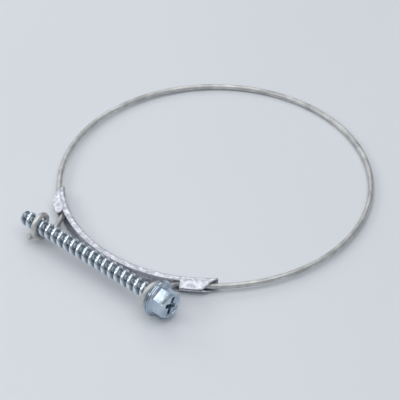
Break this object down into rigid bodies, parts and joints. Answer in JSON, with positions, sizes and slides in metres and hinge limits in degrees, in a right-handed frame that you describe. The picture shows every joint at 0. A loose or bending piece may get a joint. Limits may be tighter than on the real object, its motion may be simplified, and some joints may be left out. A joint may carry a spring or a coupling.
{
  "type": "screw-tightened wire hose clamp",
  "caption": "Round wire bent into a ring, its ends coiled round a tightening screw with a flanged hexagon head, and a folded sheet bridge that closes the gap under the screw.",
  "frame": {"origin": "Middle of the bounding box, at the level of the lowest point, which is the rim of the screw's flange.", "axes": "+Z is the axis of the hose, +X runs along the screw from its tip to its head, and -Y points from the hose's axis to the screw."},
  "size_m": [0.1078, 0.1192, 0.0123],
  "materials": {
    "drawn_wire": "drawn steel wire, dull zinc plating",
    "galvanised_sheet": "bright galvanised sheet with a faint spangle",
    "plated_screw": "glossy zinc plating with a blue tint"
  },
  "bodies": {
    "band": {"wire_band": "drawn_wire", "bridge": "galvanised_sheet"},
    "screw": {"screw": "plated_screw"}
  },
  "joints": [
    {"name": "screw_turn", "type": "hinge", "parent": "band", "child": "screw", "pos_m": [0, -0.05345, 0.00615], "axis": [1, 0, 0], "continuous": true}
  ]
}
